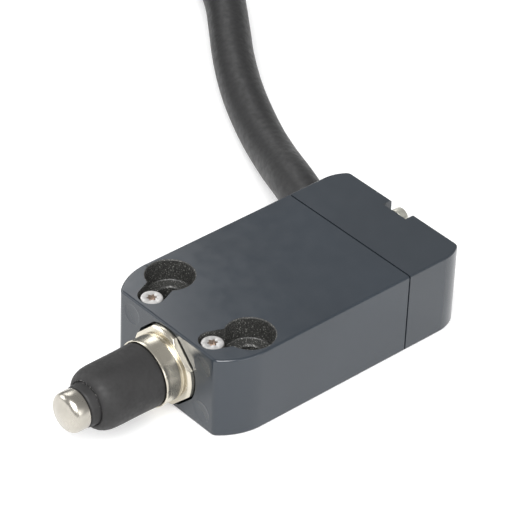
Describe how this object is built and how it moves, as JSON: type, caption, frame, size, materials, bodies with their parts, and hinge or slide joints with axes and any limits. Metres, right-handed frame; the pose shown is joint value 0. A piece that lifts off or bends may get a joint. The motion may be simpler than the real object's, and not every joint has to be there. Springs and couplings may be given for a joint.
{
  "type": "plunger limit switch",
  "caption": "Flat metal limit switch with a booted end plunger, two counterbored mounting holes, a screwed rear cap and a side cable wound in a coil.",
  "frame": {"origin": "midway between the axes of the two mounting holes, on the flat back face", "axes": "+X across the width, +Y from the plunger towards the rear cap, +Z out of the back face towards the screw heads"},
  "size_m": [0.2285, 0.1177, 0.0348],
  "materials": {
    "housing_paint": "semi-gloss dark blue-grey enamel on die-cast zinc alloy",
    "cap_paint": "semi-gloss dark blue-grey enamel on die-cast zinc alloy",
    "seal_rubber": "matt black seal rubber",
    "screw_metal": "zinc-plated satin steel",
    "nickel_plate": "nickel-plated brass, turned, glossy",
    "sleeve_bronze": "oiled sintered bronze",
    "boot_rubber": "matt black moulded rubber, lightly dusty",
    "plunger_steel": "polished stainless steel",
    "spring_steel": "bright spring steel",
    "slider_plastic": "red-brown moulded plastic",
    "tray_plastic": "cream moulded plastic",
    "contact_silver": "silver-faced contact metal",
    "terminal_brass": "bare stamped brass",
    "core_brown": "brown core insulation",
    "core_blue": "blue core insulation",
    "core_black": "black core insulation",
    "core_grey": "grey core insulation",
    "cable_sheath": "satin black cable sheath",
    "tie_nylon": "black nylon"
  },
  "bodies": {
    "switch_body": {"housing": "housing_paint", "rear_cap": "cap_paint", "cap_gasket": "seal_rubber", "cap_screw": "screw_metal", "head_screw_left": "screw_metal", "head_screw_right": "screw_metal", "guide_bushing": "nickel_plate", "bushing_seal": "seal_rubber", "guide_sleeve": "sleeve_bronze", "rubber_boot": "boot_rubber", "return_spring": "spring_steel", "contact_tray": "tray_plastic", "contact_cover": "tray_plastic", "terminal_nc_left": "terminal_brass", "terminal_nc_right": "terminal_brass", "terminal_no_left": "terminal_brass", "terminal_no_right": "terminal_brass", "wire_nc_left": "core_brown", "wire_nc_right": "core_blue", "wire_no_left": "core_black", "wire_no_right": "core_grey", "cable_grommet": "seal_rubber", "cable_end": "cable_sheath", "cable_fork": "spring_steel", "cable": "cable_sheath", "cable_coil": "cable_sheath", "coil_tie_a": "tie_nylon", "coil_tie_b": "tie_nylon"},
    "plunger": {"plunger_pin": "plunger_steel", "spring_seat": "spring_steel", "retaining_ring": "spring_steel", "contact_slider": "slider_plastic", "contact_spring": "spring_steel"},
    "bridge": {"contact_bridge": "contact_silver"}
  },
  "joints": [
    {"name": "plunger_slide", "type": "slide", "parent": "switch_body", "child": "plunger", "axis": [0, 1, 0], "range_m": [0, 0.0045], "stiffness_N_per_m": 1500, "springref_m": -0.004, "deforming": ["rubber_boot", "return_spring", "contact_spring"]},
    {"name": "bridge_slide", "type": "slide", "parent": "switch_body", "child": "bridge", "axis": [0, 1, 0], "range_m": [0, 0.00315], "stiffness_N_per_m": 200, "springref_m": -0.002}
  ],
  "couplings": [
    {"joint": "bridge_slide", "follows": "plunger_slide", "ratio": 0.7}
  ]
}
